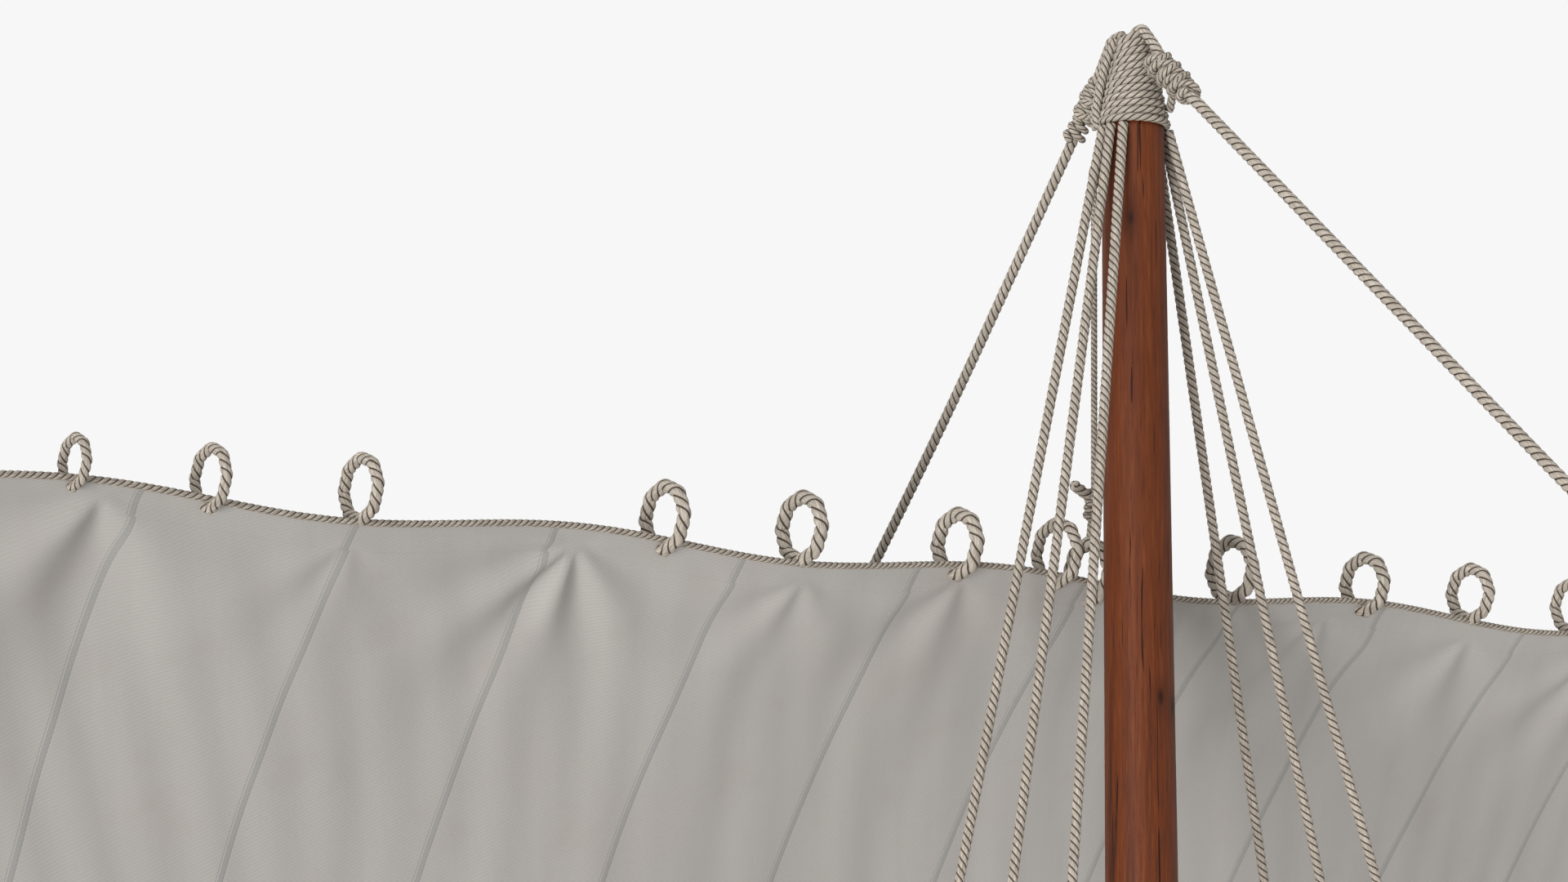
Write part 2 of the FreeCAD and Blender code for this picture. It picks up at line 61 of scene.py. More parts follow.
joints = {j["name"]: j for j in frame["joints"]}
SIDES = (("port", -1), ("starboard", 1))

# ---- rope ----
STRANDS = 3
STRAND_OFFSET = 0.31            # a strand's centre from the rope's, as a share of the rope's radius
COLUMNS = 6                     # of the tube's grid, for each strand
LAY = 2.3                       # length of one turn of a strand, in rope diameters
LONG_LAY = 3.1                  # the same in the whipping and the head rope
END_SHARE, END_RISE, END_TIP = 0.72, 0.10, 0.14     # a blunt end: its inner ring's share, and rises in diameters
END_GROOVE = 0.4


def route(points, closed=False):
    """Points along the smooth line that has these control points."""
    curve = bpy.data.curves.new("route", "CURVE")
    curve.dimensions = "3D"
    spline = curve.splines.new("NURBS")
    spline.points.add(len(points) - 1)
    for control, point in zip(spline.points, points):
        control.co = (*point, 1)
    spline.order_u = 3
    spline.use_cyclic_u = closed
    spline.use_endpoint_u = not closed
    holder = bpy.data.objects.new("route", curve)
    bpy.context.scene.collection.objects.link(holder)
    mesh = bpy.data.meshes.new_from_object(holder)
    line = np.array([v.co for v in mesh.vertices])
    bpy.data.objects.remove(holder)
    bpy.data.curves.remove(curve)
    bpy.data.meshes.remove(mesh)
    return line


def evenly(line, count, closed):
    """The line's points again, count steps of one length apart, and its length."""
    if closed:
        line = np.vstack([line, line[:1]])
    along = np.concatenate([[0], np.cumsum(np.linalg.norm(np.diff(line, axis=0), axis=1))])
    at = np.linspace(0, along[-1], count + 1)
    return np.stack([np.interp(at, along, line[:, k]) for k in range(3)], axis=1), along[-1]


def line_length(line, closed=False):
    """Length along the points of a line."""
    return evenly(line, 1, closed)[1]


def unit(vectors):
    return vectors / np.linalg.norm(vectors, axis=-1, keepdims=True)


def frames_along(points, closed):
    """Tangents and two normals that don't turn about the line."""
    if closed:
        tangents = unit(np.roll(points[:-1], -1, 0) - np.roll(points[:-1], 1, 0))
        tangents = np.vstack([tangents, tangents[:1]])
    else:
        tangents = unit(np.gradient(points, axis=0))
    normal = np.cross(tangents[0], (0.0, 0.0, 1.0))
    if np.linalg.norm(normal) < 0.2:
        normal = np.cross(tangents[0], (0.0, 1.0, 0.0))
    normals = [unit(normal)]
    for tangent in tangents[1:]:
        normals.append(unit(normals[-1] - tangent * np.dot(normals[-1], tangent)))
    normals = np.array(normals)
    binormals = np.cross(tangents, normals)
    if closed:      # share out the angle by which the last frame misses the first
        miss = math.atan2(np.dot(normals[-1], binormals[0]), np.dot(normals[-1], normals[0]))
        turn = np.linspace(0, -miss, len(points))[:, None]
        normals, binormals = (normals * np.cos(turn) + binormals * np.sin(turn),
                              binormals * np.cos(turn) - normals * np.sin(turn))
    return tangents, normals, binormals


def rope_grid(line, diameter, closed, lay, steps):
    """Vertices, faces, yarn coordinates and groove depth of one rope, whose grid runs with its strands."""
    length = line_length(line, closed)
    turns = max(1, round(length / (lay * diameter))) if closed else length / (lay * diameter)
    count = max(4, round(turns * steps))
    points, length = evenly(line, count, closed)
    tangents, normals, binormals = frames_along(points, closed)
    columns = STRANDS * COLUMNS
    share = np.arange(columns) / COLUMNS % 1
    off_crown = (2 * share - 1) * math.pi / STRANDS
    outline = STRAND_OFFSET * np.cos(off_crown) + np.sqrt(
        (1 - STRAND_OFFSET) ** 2 - (STRAND_OFFSET * np.sin(off_crown)) ** 2)
    travelled = np.linspace(0, 1, count + 1)
    corner = np.arange(columns + 1) / columns * 2 * math.pi
    angle = corner[None, :] - 2 * math.pi * turns * travelled[:, None]
    a, reach = angle[:, :-1, None], (outline * diameter / 2)[None, :, None]
    rings = points[:, None] + reach * (np.cos(a) * normals[:, None] + np.sin(a) * binormals[:, None])
    groove = np.tile(np.abs(2 * share - 1), (count + 1, 1))
    spread = angle * diameter / 2
    height = np.repeat(travelled[:, None] * length, columns + 1, axis=1)
    last = count if closed else count + 1
    faces, uvs = [], []
    for i in range(count):
        i2 = (i + 1) % last
        for j in range(columns):
            j2 = (j + 1) % columns
            faces.append((i * columns + j, i * columns + j2, i2 * columns + j2, i2 * columns + j))
            uvs += [(spread[i, j], height[i, j]), (spread[i, j + 1], height[i, j + 1]),
                    (spread[i + 1, j + 1], height[i + 1, j + 1]), (spread[i + 1, j], height[i + 1, j])]
    vertices = rings[:last].reshape(-1, 3)
    grooves = groove[:last].reshape(-1)
    if not closed:
        for end, sign in ((0, -1), (count, 1)):     # a blunt rounded end
            ring = rings[end]
            centre = points[end]
            first = len(vertices)
            inner = centre + (ring - centre) * END_SHARE + tangents[end] * sign * diameter * END_RISE
            vertices = np.vstack([vertices, inner, centre + tangents[end] * sign * diameter * END_TIP])
            grooves = np.concatenate([grooves, groove[end], [END_GROOVE]])
            for j in range(columns):
                j2 = (j + 1) % columns
                outer = (end * columns + j, end * columns + j2)
                quad = (outer[0], first + j, first + j2, outer[1])
                tri = (first + j, first + columns, first + j2)
                faces += [quad, tri] if sign < 0 else [quad[::-1], tri[::-1]]
                uvs += [(spread[end, j] * 0.7, height[end, j])] * (len(quad) + len(tri))
    return vertices, faces, uvs, grooves


def make_rope(name, lines, diameter, body, replaces=(), closed=False, lay=LAY, steps=14):
    """One piece of rope, of one or more lines, with steps rings of vertices to each turn of a strand."""
    vertices, faces, uvs, grooves = [], [], [], []
    for line in lines:
        v, f, u, g = rope_grid(np.asarray(line, float), diameter, closed, lay, steps)
        first = sum(len(x) for x in vertices)
        vertices.append(v)
        grooves.append(g)
        faces += [tuple(k + first for k in face) for face in f]
        uvs += u
    mesh = bpy.data.meshes.new(name)
    mesh.from_pydata(np.vstack(vertices).tolist(), [], faces)
    layer = mesh.uv_layers.new(name="yarn")
    layer.data.foreach_set("uv", np.array(uvs, np.float32).ravel())
    groove = mesh.attributes.new("groove", "FLOAT", "POINT")
    groove.data.foreach_set("value", np.concatenate(grooves).astype(np.float32))
    return finish_piece(name + "_laid" if name in frame["nodes"] else name, mesh, ROPE, body, replaces)


def finish_piece(name, mesh, material, body, replaces):
    """Put a mesh in the scene as a piece: its look, the body it moves with, and the CAD nodes it stands for."""
    mesh.polygons.foreach_set("use_smooth", [True] * len(mesh.polygons))
    mesh.materials.append(material)
    piece = bpy.data.objects.new(name, mesh)
    bpy.context.scene.collection.objects.link(piece)
    if body:
        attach(piece, body)
    if replaces:
        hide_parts(*replaces)
    return piece


def straight(start, end, diameter):
    """Route of a long taut stretch, with a point near each end."""
    start, end = Vector(start), Vector(end)
    along = (end - start).normalized()
    near = min(6 * diameter, (end - start).length / 3)
    return route([start, start + along * near, end - along * near, end])


def across_axes(axis):
    """Two directions square to an axis and to each other."""
    axis = Vector(axis).normalized()
    first = Vector((1, 0, 0)) - axis * axis.x
    if first.length < 0.2:
        first = Vector((0, 1, 0)) - axis * axis.y
    first.normalize()
    return np.array(first), np.array(axis.cross(first))


POINTS_A_RING, POINTS_A_TURN = 48, 40


def circle(centre, radius, axis):
    """A ring's line, for a rope."""
    a = np.linspace(0, 2 * math.pi, POINTS_A_RING, endpoint=False)[:, None]
    first, second = across_axes(axis)
    return np.array(centre) + radius * (np.cos(a) * first + np.sin(a) * second)


def wraps(start, end, radii, turns, tilt=0.0, tilt_at=0.0, hand=1):
    """Turns round an axis: radii are even steps from start to end, tilt is how far one side of a turn leads."""
    start, end = np.array(start), np.array(end)
    axis = end - start
    first, second = across_axes(axis)
    along = unit(axis)
    share = np.linspace(0, 1, int(turns * POINTS_A_TURN) + 1)[:, None]
    angle = hand * 2 * math.pi * turns * share
    radius = np.interp(share, np.linspace(0, 1, len(radii)), radii)
    lead = tilt * np.cos(angle - tilt_at)
    return start + axis * share + along * lead + radius * (np.cos(angle) * first + np.sin(angle) * second)


# ---- materials ----
class Nodes:
    """Short way to write a material's nodes."""

    def __init__(self, name):
        self.material = bpy.data.materials.new(name)
        self.material.use_nodes = True
        self.tree = self.material.node_tree
        self.shader = self.tree.nodes["Principled BSDF"]

    def add(self, kind, inputs=None, **settings):
        node = self.tree.nodes.new("ShaderNode" + kind)
        for key, value in settings.items():
            setattr(node, key, value)
        for key, value in (inputs or {}).items():
            self.put(node.inputs[key], value)
        return node

    def put(self, socket, value):
        if isinstance(value, bpy.types.NodeSocket):
            self.tree.links.new(value, socket)
        else:
            socket.default_value = value

    def maths(self, operation, *values):
        return self.add("Math", dict(enumerate(values)), operation=operation).outputs[0]

    def span(self, value, low, high):
        """0 at low to 1 at high, eased at both ends."""
        return self.add("MapRange", {0: value, 1: low, 2: high}, interpolation_type="SMOOTHSTEP").outputs[0]

    def part_of(self, value, share):
        return self.maths("MULTIPLY", value, share)

    def off(self, value, centre):
        """How far a value is from a centre, either way."""
        return self.maths("ABSOLUTE", self.maths("SUBTRACT", value, centre))

    def mix(self, factor, a, b):
        node = self.add("Mix", data_type="RGBA")
        colours = [s for s in node.inputs if s.type == "RGBA"]
        self.put(node.inputs[0], factor)
        for socket, value in zip(colours, (a, b)):
            self.put(socket, (*value, 1) if isinstance(value, tuple) else value)
        return [s for s in node.outputs if s.type == "RGBA"][0]

    def noise(self, vector, scale, detail=2.0, stretch=(1, 1, 1), rough=0.5):
        mapped = self.add("Mapping", {0: vector, "Scale": stretch}).outputs[0]
        return self.add("TexNoise", {"Vector": mapped, "Scale": scale, "Detail": detail,
                                     "Roughness": rough}).outputs[0]

    def object_place(self):
        return self.add("TexCoord").outputs["Object"]

    def finish(self, colour, height, bump_distance, strength=1.0):
        self.put(self.shader.inputs["Base Color"], colour)
        bump = self.add("Bump", {"Strength": strength, "Distance": bump_distance, "Height": height})
        self.put(self.shader.inputs["Normal"], bump.outputs[0])
        return self.material


def rope_material():
    """Natural fibre: yarns that run with the strands, stray hairs, and painted shade in the grooves between the
    strands.
    """
    m = Nodes("laid_rope")
    yarn = m.add("UVMap", uv_map="yarn").outputs[0]
    place = m.object_place()
    streaks = m.span(m.noise(yarn, 1.0, 2.0, (560, 26, 1)), 0.36, 0.64)
    hairs = m.span(m.noise(yarn, 1.0, 3.0, (1500, 90, 1), 0.6), 0.3, 0.7)
    colour = m.mix(streaks, (0.27, 0.23, 0.19), (0.565, 0.505, 0.43))
    colour = m.mix(m.part_of(hairs, 0.35), colour, (0.62, 0.565, 0.485))
    weathered = m.span(m.noise(place, 7.0, 4.0), 0.42, 0.68)
    colour = m.mix(m.part_of(weathered, 0.35), colour, (0.36, 0.32, 0.27))
    groove = m.add("Attribute", attribute_name="groove").outputs["Fac"]
    wander = m.part_of(m.maths("SUBTRACT", m.noise(place, 90.0), 0.5), 0.10)
    line = m.span(m.maths("ADD", groove, wander), 0.66, 0.88)
    # painted shade: the groove mask (line) darkens the grooves between the strands almost to black
    colour = m.mix(m.part_of(line, 0.95), colour, (0.045, 0.028, 0.018))
    m.shader.inputs["Roughness"].default_value = 0.88
    m.shader.inputs["Specular IOR Level"].default_value = 0.2
    height = m.maths("SUBTRACT", m.maths("ADD", streaks, m.part_of(hairs, 0.5)),
                     m.part_of(line, 1.2))
    return m.finish(colour, height, 0.0006, 0.8)


def wood_material(name, dark, middle, light, scale=1.0, along=(1, 1, 0.05), roughness=0.5, knots=True):
    """Oiled wood with its grain along one axis: bands, fine pores, drying cracks and a few knots."""
    m = Nodes(name)
    place = m.object_place()
    bend = m.noise(place, 1.3 * scale, 2.0)
    bent = m.add("VectorMath", {0: place, 1: m.add("CombineXYZ", {0: m.part_of(bend, 0.05),
                                                                  1: m.part_of(bend, 0.04)}).outputs[0]},
                 operation="ADD").outputs[0]
    bands = m.noise(bent, 120 * scale, 5.0, along, 0.65)
    broad = m.noise(bent, 24 * scale, 3.0, along)
    pores = m.noise(bent, 340 * scale, 2.0, (along[0], along[1], along[2] * 0.6))
    colour = m.mix(m.span(broad, 0.24, 0.48), dark, middle)
    colour = m.mix(m.part_of(m.span(bands, 0.48, 0.72), 0.55), colour, light)
    colour = m.mix(m.part_of(m.span(bands, 0.47, 0.30), 0.5), colour, dark)
    cracks = m.span(m.noise(bent, 130 * scale, 1.0, (along[0], along[1], along[2] * 0.4)), 0.68, 0.72)
    fine = m.span(pores, 0.60, 0.70)
    dent = m.maths("ADD", cracks, m.part_of(fine, 0.35))
    if knots:
        cells = m.add("Mapping", {0: place, "Scale": (9.0, 9.0, 4.2)}).outputs[0]
        distance = m.add("TexVoronoi", {"Vector": cells, "Scale": 1.0, "Randomness": 1.0}).outputs[0]
        knot = m.span(distance, 0.13, 0.05)
        colour = m.mix(m.part_of(m.span(distance, 0.30, 0.10), 0.45), colour, dark)
        dent = m.maths("ADD", dent, m.part_of(knot, 0.8))
    shade = tuple(c * 0.22 for c in dark)
    colour = m.mix(m.maths("MINIMUM", dent, 0.9), colour, shade)
    m.shader.inputs["Roughness"].default_value = roughness
    m.shader.inputs["Specular IOR Level"].default_value = 0.22
    height = m.maths("SUBTRACT", m.part_of(bands, 0.5), dent)
    return m.finish(colour, height, 0.0012, 0.7)


# ---- sail's shape: the part's own values ----
HEAD_Y, HEAD_Z = joints["brace"]["pos_m"][1], 4.659
HEAD_WAVE, WAVE_LENGTH = 0.018, 1.2
HALF_WIDTH, LEECH = 3.0, 3.8
HEAD_ANGLE, BELLY_RADIUS = math.radians(46.6), 3.57
NARROWING, FOOT_ARCH = 0.08, 0.15
BOLT_ROPE = 0.016
CLOTH_THICKNESS = 0.003
CLOTH_WIDTH = 0.504             # between two seams
SEAM_OFFSET = 0.05              # the seam nearest the mast, to port
TABLING, TABLING_STEP = 0.075, 0.005    # depth of the doubled cloth under the head, and the seams' step there
LAP_MIDDLE, LAP_EDGES = 0.013, (0.004, 0.022)       # of a seam's doubled cloth, across from its cloth's edge
TWILL_RIB, TWILL_SLANT = 0.0114, 0.67   # one rib's drop down the cloth, and its climb for each metre across
STITCHES = 520.0                # radians of the stitching's dashes in a metre
PLUMB = 0.42                    # slack hangs plumb, so it drifts this far across for each metre down


def canvas_material():
    """Twill canvas. The cloth's coordinates are metres across and down it, so seams and weave lie as sewn."""
    m = Nodes("twill_canvas")
    cloth = m.add("UVMap", uv_map="cloth").outputs[0]
    split = m.add("SeparateXYZ", {0: cloth})
    across, down = split.outputs[0], split.outputs[1]
    in_tabling = m.maths("LESS_THAN", down, TABLING)
    shifted = m.maths("ADD", m.maths("ADD", across, SEAM_OFFSET + 20 * CLOTH_WIDTH),
                      m.part_of(in_tabling, TABLING_STEP))
    inside = m.maths("MODULO", shifted, CLOTH_WIDTH)
    edge = m.span(m.off(inside, LAP_EDGES[0]), 0.0028, 0.0008)
    second = m.span(m.off(inside, LAP_EDGES[1]), 0.0022, 0.0006)
    lap = m.span(m.off(inside, LAP_MIDDLE), 0.0088, 0.0050)
    hem = m.span(m.off(down, TABLING), 0.0026, 0.0008)
    stitch = m.maths("GREATER_THAN", m.maths("SINE", m.part_of(m.maths("ADD", across, down), STITCHES)), -0.3)
    stitched = m.part_of(m.maths("MAXIMUM", second, m.part_of(hem, 0.5)),
                         m.maths("MULTIPLY_ADD", stitch, 0.35, 0.3))
    lines = m.maths("MAXIMUM", edge, stitched)
    ribs = m.maths("ADD", m.part_of(across, TWILL_SLANT), down)
    twill = m.maths("MULTIPLY_ADD", m.maths("SINE", m.part_of(ribs, 2 * math.pi / TWILL_RIB)), 0.5, 0.5)
    slubs = m.noise(cloth, 1.0, 3.0, (260, 190, 1), 0.6)
    # darker streaks that hang plumb: painted shade of the slack cloth's creases
    hung = m.add("CombineXYZ", {0: m.maths("SUBTRACT", across, m.part_of(down, PLUMB)), 1: down}).outputs[0]
    painted_crease_shade = m.span(m.noise(hung, 1.0, 4.0, (16, 1.8, 1), 0.6), 0.38, 0.68)
    patches = m.span(m.noise(cloth, 2.3, 4.0), 0.40, 0.66)
    stains = m.span(m.noise(cloth, 5.5, 3.0), 0.52, 0.74)
    colour = m.mix(m.part_of(twill, 0.38), (0.455, 0.435, 0.41), (0.54, 0.52, 0.49))
    colour = m.mix(m.part_of(m.span(slubs, 0.45, 0.75), 0.3), colour, (0.40, 0.375, 0.345))
    colour = m.mix(m.part_of(painted_crease_shade, 0.34), colour, (0.43, 0.405, 0.38))
    colour = m.mix(m.part_of(patches, 0.35), colour, (0.47, 0.43, 0.405))
    colour = m.mix(m.part_of(stains, 0.22), colour, (0.42, 0.37, 0.345))
    colour = m.mix(m.part_of(lap, 0.62), colour, (0.315, 0.312, 0.30))
    colour = m.mix(m.part_of(lines, 0.12), colour, (0.17, 0.15, 0.135))
    m.shader.inputs["Roughness"].default_value = 0.92
    m.shader.inputs["Specular IOR Level"].default_value = 0.15
    m.shader.inputs["Sheen Weight"].default_value = 0.12
    height = m.maths("ADD", m.maths("MULTIPLY_ADD", twill, 0.5, m.part_of(slubs, 0.4)),
                     m.maths("SUBTRACT", m.part_of(lap, 1.5), m.part_of(lines, 1.5)))
    return m.finish(colour, height, 0.0005, 0.6)


ROPE = rope_material()
CANVAS = canvas_material()
MAST_WOOD = wood_material("oiled_mast_wood", (0.052, 0.013, 0.005), (0.135, 0.031, 0.0078), (0.225, 0.062, 0.017))
TURNED_WOOD = wood_material("turned_wood", (0.11, 0.05, 0.024), (0.24, 0.125, 0.062), (0.36, 0.21, 0.11),
                            scale=2.5, along=(0.25, 1, 1), roughness=0.42, knots=False)

TURNED = ("mast_cleat", "cleat_treenails", "halyard_bulls_eye", "forestay_thimble", "backstay_thimble",
          "port_bulls_eyes", "starboard_bulls_eyes")


def paint(nodes, material):
    """Give CAD nodes that stay in view their material."""
    for name in nodes:
        node = frame["nodes"][name]
        node.data.materials.clear()
        node.data.materials.append(material)


paint(["mast"], MAST_WOOD)
paint(TURNED, TURNED_WOOD)

# ---- camera ----
CAMERA_RISE, CAMERA_HEADING = 8.35, -38.41      # degrees up from level, and turned about Z from +Y
camera = bpy.data.objects.new("camera", bpy.data.cameras.new("camera"))
bpy.context.scene.collection.objects.link(camera)
camera.location = (-6.880, -7.356, 3.508)
camera.rotation_euler = (math.radians(90 + CAMERA_RISE), 0, math.radians(CAMERA_HEADING))
camera.data.lens = 100
camera.data.sensor_width = 36
camera.data.clip_end = 200
bpy.context.scene.camera = camera

# ---- masthead ----
WHIPPING_BOTTOM, WHIPPING_TOP, WHIPPING_TURNS = 5.720, 5.925, 11
WHIPPING_OVER = 2               # more turns cover the masthead's shoulder
MAST_TOP_RADIUS, MASTHEAD_RADIUS = 0.0735, 0.026
SEAT_GAP = 0.0003
STAY_APEX = 5.950
whipping_rope = (WHIPPING_TOP - WHIPPING_BOTTOM) / WHIPPING_TURNS
WHIPPING_CLIMB, CLIMB_HEADING = 0.016, math.radians(CAMERA_HEADING)    # its turns climb towards this side
WHIPPING_STEPS = 60             # points in a turn
WHIPPING_FULLNESS = 1.02        # its rope's size over the spacing of its turns


def whipping_outside(z):
    """How far from the mast's axis the whipping reaches at a height."""
    share = (z - WHIPPING_BOTTOM) / (WHIPPING_TOP - WHIPPING_BOTTOM)
    return MAST_TOP_RADIUS + (MASTHEAD_RADIUS - MAST_TOP_RADIUS) * share + SEAT_GAP + whipping_rope


def whipping_line():
    """Turns that lie level on the shoulder of the mast and slope more and more towards its head."""
    points = []
    turns = WHIPPING_TURNS + WHIPPING_OVER - 1
    for k in range(turns * WHIPPING_STEPS + 1):
        share = k / (turns * WHIPPING_STEPS)
        angle = -2 * math.pi * k / WHIPPING_STEPS
        z = WHIPPING_BOTTOM + whipping_rope / 2 + whipping_rope * turns * share
        reach = whipping_outside(z) - whipping_rope / 2
        z += WHIPPING_CLIMB * share ** 0.7 * math.cos(angle - CLIMB_HEADING)
        points.append((reach * math.cos(angle), reach * math.sin(angle), z))
    return points


make_rope("masthead_whipping", [whipping_line()], whipping_rope * WHIPPING_FULLNESS, "rig", ["masthead_whipping"],
          lay=LONG_LAY)

# ---- shrouds ----
SHROUD_ROPE = 0.024
EYE_GROOVE_FLOOR = 0.0337
NECK_SHORT = 0.2                # diameters by which a rope ends short of its eye's centre line, within the eye's rope
SPLICE_SHARE = 0.97             # size of an eye's rope over that of the rope it ends
SEIZING_ROPE, SEIZING_LENGTH, SEIZING_TURNS, SEIZING_STANDOFF = 0.006, 0.060, 9, 0.002
LEAD_ANGLES = {"fore": 7, "middle": -11, "aft": -32}
BIGHT_ROPE = 0.021
BIGHT_ANGLES = ((33, 46), (22, 30))     # the two bights a side, in degrees forward of abeam: low down, and above
# Heights along a bight, and how far its centre stands outside the whipping at each.
BIGHT_ROUTE = ((5.722, -0.004), (5.745, 0.007), (5.80, 0.009), (5.86, 0.009), (5.905, 0.006), (5.936, -0.002))


def rope_end(name, start, centre, rope, seizing_node, line=None):
    """A taut rope to a wooden eye, with the eye splice round it and the seizing."""
    start, centre = Vector(start), Vector(centre)
    along = (centre - start).normalized()
    ring_radius = EYE_GROOVE_FLOOR + rope / 2 + SEAT_GAP
    neck = centre - along * (ring_radius + rope * NECK_SHORT)
    line = straight(start, neck, rope) if line is None else route([start, *line, neck])
    piece = make_rope(name, [line], rope, "rig", [name])
    axis = Vector((1, 0, 0)) - along * along.x
    eye = make_rope(name + "_splice", [circle(centre, ring_radius, axis)], rope * SPLICE_SHARE, "rig", closed=True)
    bound = centre - along * (ring_radius + rope / 2 + SEIZING_STANDOFF)
    top = bound - along * SEIZING_LENGTH
    reach = rope / 2 + SEIZING_ROPE / 2 - 0.001
    seizing = make_rope(name + "_seizing", [wraps(top, bound, [reach, reach], SEIZING_TURNS, hand=-1)],
                        SEIZING_ROPE, "rig", [seizing_node], steps=8)


for side, sign in SIDES:
    lead = MAST_TOP_RADIUS + SHROUD_ROPE / 2 + SEAT_GAP
    for name, angle in LEAD_ANGLES.items():
        a = math.radians(angle)
        start = (sign * lead * math.cos(a), lead * math.sin(a), WHIPPING_BOTTOM - SEAT_GAP)
        rope_end(f"{side}_{name}_shroud", start, mounts[f"{side}_{name}_bulls_eye"], SHROUD_ROPE,
                 f"{side}_shroud_seizings")
    bights = []                 # these run up outside the whipping, to the masthead
    for angles in BIGHT_ANGLES:
        points = []
        for z, out in BIGHT_ROUTE:
            reach = whipping_outside(z) + out
            a = math.radians(np.interp(z, (BIGHT_ROUTE[0][0], BIGHT_ROUTE[3][0]), angles))
            points.append((sign * reach * math.cos(a), reach * math.sin(a), z))
        bights.append(route(points))
    make_rope(f"{side}_shroud_bights", bights, BIGHT_ROPE, "rig")

# ---- stays ----
FORESTAY_ROPE = 0.026
BACKSTAY_ROPE, BACKSTAY_SLOPE, BACKSTAY_KNOT = 0.029, -1.082, (0.085, 0.185)
KNOT_ROPE = 0.017
FORE_EYE_SHARE, BACK_EYE_SHARE = 0.84, 0.9      # size of the eye's rope over its stay's


def on_backstay(drop):
    """The point of the backstay's line this far below the stays' meeting point."""
    return Vector((0, BACKSTAY_SLOPE * drop, STAY_APEX - drop))


knot_top, knot_foot = (on_backstay(drop) for drop in BACKSTAY_KNOT)
rope_end("backstay", knot_top + (knot_foot - knot_top).normalized() * KNOT_ROPE, mounts["backstay_thimble"],
         BACKSTAY_ROPE, "backstay_seizing")
rope_end("forestay", (0, 0.150, 5.808), mounts["forestay_thimble"], FORESTAY_ROPE, "forestay_seizing",
         line=[(0, 0.260, 5.6645), (0, 0.7489, 5.0269)])

# The forestay's knot: sloping turns over both legs of the eye, fining down to a thick last turn.
make_rope("forestay_knot", [
    wraps((0, 0.112, 5.848), (0, 0.176, 5.772), [0.0225, 0.0255, 0.0235, 0.0185], 4.6, 0.010, 1.0, -1),
    wraps((0, 0.118, 5.838), (0, 0.170, 5.780), [0.0275, 0.0280, 0.0225], 2.1, 0.016, 2.6, 1),
    wraps((0, 0.172, 5.778), (0, 0.2105, 5.732), [0.0180, 0.0180, 0.0205, 0.0215], 2.6, 0.005, 0.4, -1)],
    KNOT_ROPE, "rig", ["forestay_knot"])
make_rope("forestay_eye", [
    route([(-0.010, 0.150, 5.805), (-0.016, 0.120, 5.838), (-0.019, 0.062, 5.925), (-0.020, 0.048, 5.948),
           (-0.018, 0.010, 5.950)]),
    route([(0.008, 0.150, 5.805), (0.012, 0.122, 5.838), (0.012, 0.074, 5.918), (0.012, 0.055, 5.943),
           (0.016, 0.010, 5.948)])], FORESTAY_ROPE * FORE_EYE_SHARE, "rig", ["forestay_eye"])

# The backstay's knot: two layers of turns that cross, and its eye over the masthead.
make_rope("backstay_knot", [
    wraps(on_backstay(0.076), on_backstay(0.184),
          [0.024, 0.0245, 0.0235, 0.022], 5.6, 0.012, 0.6, -1),
    wraps(on_backstay(0.076), on_backstay(0.165),
          [0.0285, 0.030, 0.027], 3.1, 0.018, 2.2, 1)],
    KNOT_ROPE, "rig", ["backstay_knot"])
make_rope("backstay_eye", [route([
    on_backstay(0.115), (0, -0.098, 5.886), (0, -0.046, 5.950), (0, -0.034, 5.960),
    (0, -0.020, 5.956), (0, 0.006, 5.940), (0, 0.024, 5.922)])],
    BACKSTAY_ROPE * BACK_EYE_SHARE, "rig", ["backstay_eye"])
make_rope("backstay_eye_return", [route([
    (0.026, -0.030, 5.905), (0.024, -0.062, 5.898), (0.016, -0.100, 5.878), (0.006, -0.132, 5.858)])],
    0.020, "rig")
make_rope("backstay_lower_leg", [route([
    (0.002, -0.142, 5.850), (0.010, -0.134, 5.826), (0.040, -0.095, 5.790), (0.058, -0.066, 5.766)])],
    0.021, "rig", ["backstay_lower_leg"])


# ---- head loops ----
CORNERS = 8
CORNER_RUN = 0.10               # share of a side that its two corners cut off
LOOP_GIRTH = 1.03               # radius of the corners over that of the CAD's ring
LOOP_LEAN = 0.06                # most that a loop is turned in its plane, in radians
SIT_DEEPER, SIT_WIDER = 0.006, 0.010    # loops that stand on the head rope are worked down onto it
LOOP_FULLNESS = 1.06            # a laid rope's strands stand this much outside its nominal size


def head_height(x):
    """Height of the head rope, which waves between its loops."""
    return HEAD_Z - HEAD_WAVE * np.sin(2 * math.pi * x / WAVE_LENGTH)


def rounded_ring(corners, run):
    """A closed line along a polygon's sides, whose corners are curves."""
    points = []
    for start, end in zip(corners, corners[1:] + corners[:1]):
        points += [tuple(a + (b - a) * share for a, b in zip(start, end)) for share in (run, 1 - run)]
    return route(points, closed=True)


def polygon_ring(centre, radius, turned=0.0):
    """A ring of stiff rope: short straight runs and soft corners, in the plane square to X, one corner down."""
    angles = [turned + 2 * math.pi * k / CORNERS - math.pi / 2 for k in range(CORNERS)]
    return rounded_ring([(centre[0], centre[1] + radius * LOOP_GIRTH * math.cos(a),
                          centre[2] + radius * LOOP_GIRTH * math.sin(a)) for a in angles], CORNER_RUN / 2)


def ring_of(node):
    """Centre, centre-line radius and rope of a loop's CAD ring."""
    low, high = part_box(node)
    rope = high.x - low.x
    return (low + high) / 2, (high.z - low.z - rope) / 2, rope


